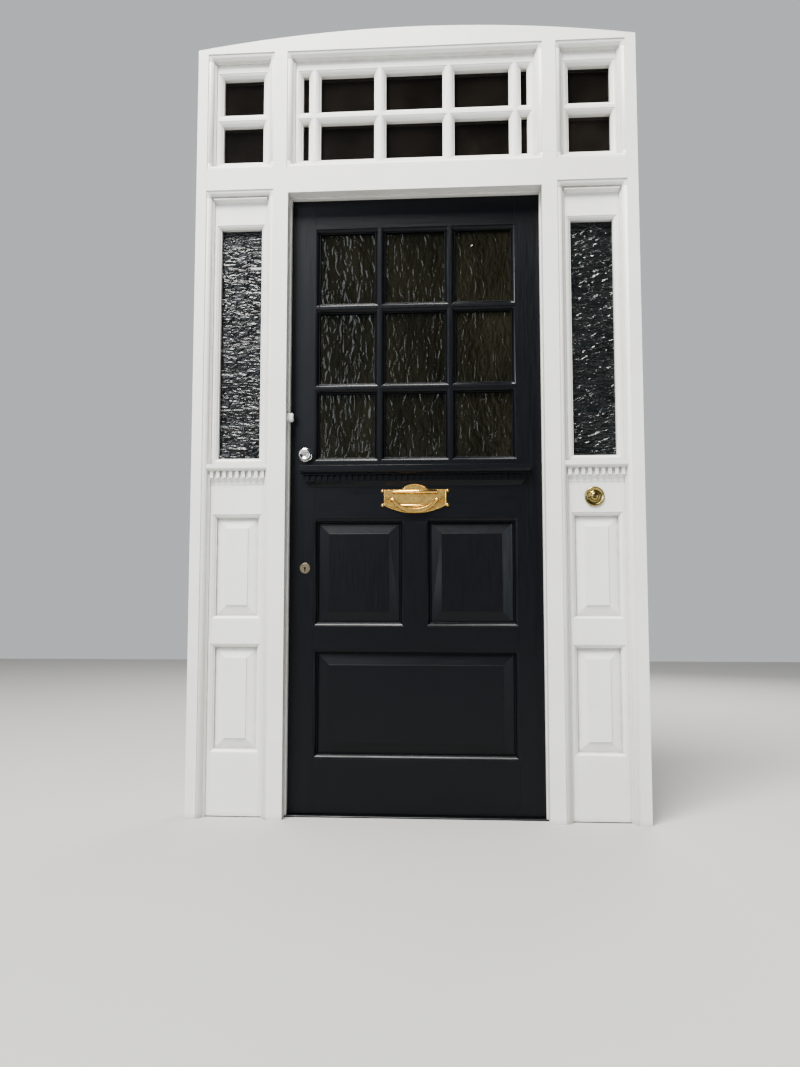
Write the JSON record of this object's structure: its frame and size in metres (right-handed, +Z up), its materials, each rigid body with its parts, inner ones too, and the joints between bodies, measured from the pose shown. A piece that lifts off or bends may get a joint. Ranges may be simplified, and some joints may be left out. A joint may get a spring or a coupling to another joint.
{
  "type": "front door with sidelights and frame",
  "caption": "Panelled front door in a white frame with glazed sidelights and overlights; leaf, letter flap, bow knocker, latch, bolt and bell button move.",
  "frame": {"origin": "middle of the doorway, on the underside of the threshold strip, at the middle of the frame's depth", "axes": "+X right seen from outside, +Y into the house, +Z up"},
  "size_m": [1.394, 0.1513, 2.488],
  "materials": {
    "frame_paint": "white painted softwood, satin",
    "leaf_paint": "blue-black painted wood, satin",
    "rippled_glass": "rippled obscure glass",
    "reeded_glass": "streaked obscure glass",
    "polished_brass": "polished",
    "dull_brass": "tarnished",
    "hinge_brass": "satin",
    "bell_brass": "worn",
    "latch_chrome": "satin chrome plate",
    "latch_enamel": "black enamel",
    "steel": "brushed",
    "switch_body": "moulded"
  },
  "bodies": {
    "frame": {"jamb_left": "frame_paint", "jamb_right": "frame_paint", "post_left": "frame_paint", "post_right": "frame_paint", "transom": "frame_paint", "head": "frame_paint", "mullion_left": "frame_paint", "mullion_right": "frame_paint", "threshold_strip": "leaf_paint", "door_stops": "frame_paint", "bed_beads": "frame_paint", "sidelight_left_frame": "frame_paint", "sidelight_right_frame": "frame_paint", "sidelight_left_panels": "frame_paint", "sidelight_right_panels": "frame_paint", "sidelight_glass": "rippled_glass", "sidelight_beads": "frame_paint", "sidelight_left_dentils": "frame_paint", "sidelight_right_dentils": "frame_paint", "overlight_left_sash": "frame_paint", "overlight_centre_sash": "frame_paint", "overlight_right_sash": "frame_paint", "overlight_glass": "rippled_glass", "overlight_beads": "frame_paint", "bell_plate": "dull_brass", "bell_contact": "switch_body", "nightlatch_keep": "latch_enamel", "mortice_keep": "steel", "post_stud": "frame_paint", "hinge_frame_plates": "hinge_brass"},
    "leaf": {"hinge_stile": "leaf_paint", "lock_stile": "leaf_paint", "top_rail": "leaf_paint", "lock_rail": "leaf_paint", "middle_rail": "leaf_paint", "bottom_rail": "leaf_paint", "muntin": "leaf_paint", "upper_panel_left": "leaf_paint", "upper_panel_right": "leaf_paint", "lower_panel": "leaf_paint", "glazing_bars": "leaf_paint", "leaf_glass": "reeded_glass", "leaf_beads": "leaf_paint", "dentil_shelf": "leaf_paint", "letter_plate": "polished_brass", "inner_cover": "polished_brass", "latch_pull": "latch_chrome", "nightlatch_case": "latch_enamel", "mortice_case": "steel", "escutcheons": "dull_brass", "hinge_leaf_plates": "hinge_brass"},
    "letter_flap": {"letter_flap": "polished_brass"},
    "clapper": {"clapper": "polished_brass"},
    "inner_flap": {"inner_flap": "polished_brass"},
    "cylinder_plug": {"cylinder_plug": "dull_brass"},
    "nightlatch_knob": {"nightlatch_knob": "latch_chrome"},
    "nightlatch_bolt": {"nightlatch_bolt": "dull_brass"},
    "mortice_bolt": {"mortice_bolt": "dull_brass"},
    "bell_button": {"bell_button": "bell_brass"}
  },
  "joints": [
    {"name": "leaf_hinge", "type": "hinge", "parent": "frame", "child": "leaf", "pos_m": [0.40775, 0.057, 1], "axis": [0, 0, -1], "range_deg": [0, 100]},
    {"name": "letter_flap_hinge", "type": "hinge", "parent": "leaf", "child": "letter_flap", "pos_m": [0, 0.006, 0.986], "axis": [1, 0, 0], "range_deg": [0, 70], "stiffness_Nm_per_rad": 0.06, "springref_deg": -22.92},
    {"name": "clapper_hinge", "type": "hinge", "parent": "leaf", "child": "clapper", "pos_m": [0, -0.004, 0.971], "axis": [-1, 0, 0], "range_deg": [0, 100]},
    {"name": "inner_flap_hinge", "type": "hinge", "parent": "leaf", "child": "inner_flap", "pos_m": [0, 0.0565, 0.997], "axis": [1, 0, 0], "range_deg": [0, 80]},
    {"name": "cylinder_turn", "type": "hinge", "parent": "leaf", "child": "cylinder_plug", "pos_m": [-0.346, 0, 1.116], "axis": [0, 1, 0], "range_deg": [0, 90]},
    {"name": "nightlatch_turn", "type": "hinge", "parent": "leaf", "child": "nightlatch_knob", "pos_m": [-0.346, 0.06, 1.116], "axis": [0, 1, 0], "range_deg": [0, 60]},
    {"name": "nightlatch_slide", "type": "slide", "parent": "leaf", "child": "nightlatch_bolt", "axis": [-1, 0, 0], "range_m": [0, 0.0121]},
    {"name": "mortice_slide", "type": "slide", "parent": "leaf", "child": "mortice_bolt", "axis": [-1, 0, 0], "range_m": [0, 0.014]},
    {"name": "bell_press", "type": "slide", "parent": "frame", "child": "bell_button", "axis": [0, 1, 0], "range_m": [0, 0.0018], "stiffness_N_per_m": 600, "springref_m": -0.001}
  ],
  "couplings": [
    {"joint": "nightlatch_slide", "follows": "nightlatch_turn", "m_per_rad": 0.011459}
  ]
}
